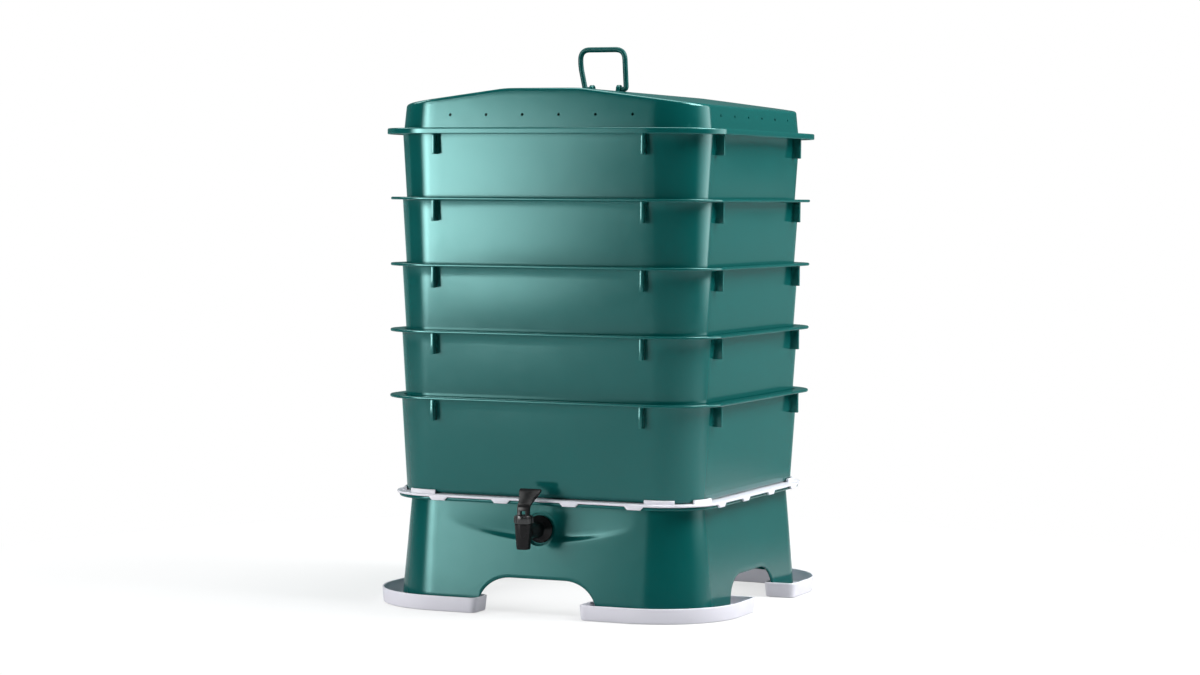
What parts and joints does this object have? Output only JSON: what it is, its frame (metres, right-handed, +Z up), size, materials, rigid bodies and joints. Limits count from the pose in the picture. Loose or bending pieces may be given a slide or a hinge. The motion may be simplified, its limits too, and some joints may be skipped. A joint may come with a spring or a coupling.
{
  "type": "wormery",
  "caption": "Stacked worm composting bin: nesting perforated trays and a vented gable lid on a basin stand with a tap and moat feet.",
  "frame": {"origin": "on the floor under the middle of the whole, from the tap's collar to the back of the ant trays", "axes": "+Z up, the tap towards -Y, the handle's hinge line along X"},
  "size_m": [0.4574, 0.4762, 0.6759],
  "materials": {
    "green_plastic": "semi-gloss moulded polypropylene",
    "white_plastic": "satin moulded plastic",
    "black_plastic": "semi-gloss moulded plastic",
    "black_rubber": "matt rubber",
    "silicone": "translucent silicone"
  },
  "bodies": {
    "ant_trays": {"ant_tray_back_right": "white_plastic", "ant_tray_back_left": "white_plastic", "ant_tray_front_left": "white_plastic", "ant_tray_front_right": "white_plastic"},
    "stand": {"stand": "green_plastic", "tap_body": "black_plastic", "tap_collar": "black_plastic", "tap_lever_pin": "black_plastic", "tap_outer_washer": "black_rubber", "tap_inner_washer": "black_rubber", "tap_nut": "black_plastic"},
    "tap_lever": {"tap_lever": "black_plastic"},
    "tap_valve": {"tap_stem": "black_plastic", "tap_seal": "silicone"},
    "filter_panel": {"filter_panel": "white_plastic"},
    "tray_1": {"tray_1": "green_plastic"},
    "tray_2": {"tray_2": "green_plastic"},
    "tray_3": {"tray_3": "green_plastic"},
    "tray_4": {"tray_4": "green_plastic"},
    "tray_5": {"tray_5": "green_plastic"},
    "lid": {"lid": "green_plastic"},
    "lid_handle": {"lid_handle": "green_plastic"}
  },
  "joints": [
    {"name": "stand_lift", "type": "slide", "parent": "ant_trays", "child": "stand", "axis": [0, 0, 1], "range_m": [0, 0.03]},
    {"name": "panel_lift", "type": "slide", "parent": "stand", "child": "filter_panel", "axis": [0, 0, 1], "range_m": [0, 0.02]},
    {"name": "tray_1_lift", "type": "slide", "parent": "filter_panel", "child": "tray_1", "axis": [0, 0, 1], "range_m": [0, 0.03]},
    {"name": "tray_2_lift", "type": "slide", "parent": "tray_1", "child": "tray_2", "axis": [0, 0, 1], "range_m": [0, 0.06]},
    {"name": "tray_3_lift", "type": "slide", "parent": "tray_2", "child": "tray_3", "axis": [0, 0, 1], "range_m": [0, 0.06]},
    {"name": "tray_4_lift", "type": "slide", "parent": "tray_3", "child": "tray_4", "axis": [0, 0, 1], "range_m": [0, 0.06]},
    {"name": "tray_5_lift", "type": "slide", "parent": "tray_4", "child": "tray_5", "axis": [0, 0, 1], "range_m": [0, 0.06]},
    {"name": "lid_lift", "type": "slide", "parent": "tray_5", "child": "lid", "axis": [0, 0, 1], "range_m": [0, 0.05]},
    {"name": "handle_fold", "type": "hinge", "parent": "lid", "child": "lid_handle", "pos_m": [0, 0.0094, 0.624], "axis": [1, 0, 0], "range_deg": [-90, 90]},
    {"name": "tap_lever_pull", "type": "hinge", "parent": "stand", "child": "tap_lever", "pos_m": [0, -0.2266, 0.1178], "axis": [1, 0, 0], "range_deg": [0, 40], "stiffness_Nm_per_rad": 0.08, "springref_deg": -20.05},
    {"name": "tap_valve_lift", "type": "slide", "parent": "stand", "child": "tap_valve", "axis": [0, 0, 1], "range_m": [0, 0.003]}
  ],
  "couplings": [
    {"joint": "tap_valve_lift", "follows": "tap_lever_pull", "m_per_rad": 0.00429}
  ]
}
